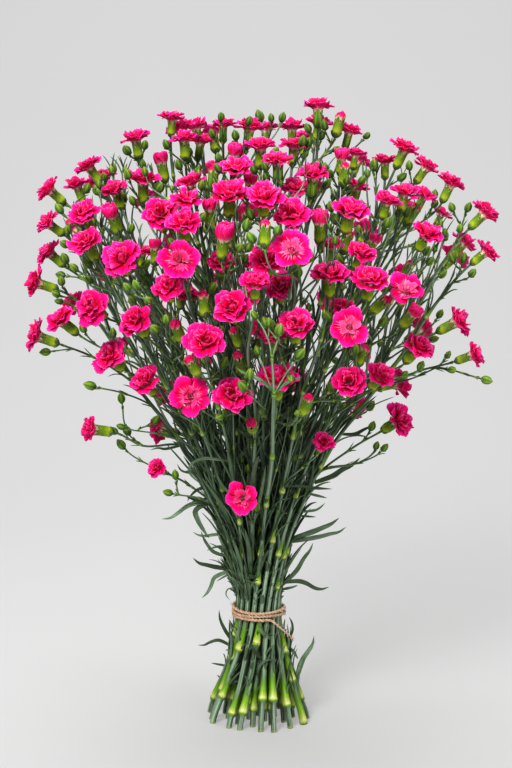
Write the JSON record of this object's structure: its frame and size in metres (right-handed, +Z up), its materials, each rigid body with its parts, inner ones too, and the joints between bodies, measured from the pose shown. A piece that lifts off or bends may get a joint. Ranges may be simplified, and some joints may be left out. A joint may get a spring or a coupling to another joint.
{
  "type": "bunch of spray carnations",
  "caption": "Hand-tied bunch of pink spray carnations: jointed stems with buds and layered ruffled blooms, drawn in at the waist by jute twine and standing on splayed cut ends",
  "frame": {"origin": "on the floor, under the middle of the box round the bunch; the tie is within 3 mm of straight above it", "axes": "+Z up along the bunch, the front that the picture shows faces -Y, +X to the right of that view"},
  "size_m": [0.4787, 0.4629, 0.6476],
  "materials": {
    "greenery": "matte, waxy grey-green",
    "petals": "soft, velvety pink",
    "twine": "dry, hairy natural jute"
  },
  "bodies": {
    "root": {"spray_01": "greenery", "spray_02": "greenery", "spray_03": "greenery", "spray_04": "greenery", "spray_05": "greenery", "spray_06": "greenery", "spray_07": "greenery", "spray_08": "greenery", "spray_09": "greenery", "spray_10": "greenery", "spray_11": "greenery", "spray_12": "greenery", "spray_13": "greenery", "spray_14": "greenery", "spray_15": "greenery", "spray_16": "greenery", "spray_17": "greenery", "spray_18": "greenery", "spray_19": "greenery", "spray_20": "greenery", "spray_21": "greenery", "spray_22": "greenery", "spray_23": "greenery", "spray_24": "greenery", "spray_25": "greenery", "spray_26": "greenery", "spray_27": "greenery", "spray_28": "greenery", "spray_29": "greenery", "spray_30": "greenery", "spray_31": "greenery", "spray_32": "greenery", "spray_33": "greenery", "spray_34": "greenery", "spray_35": "greenery", "spray_36": "greenery", "spray_37": "greenery", "twine_tie": "twine"}
  },
  "joints": []
}
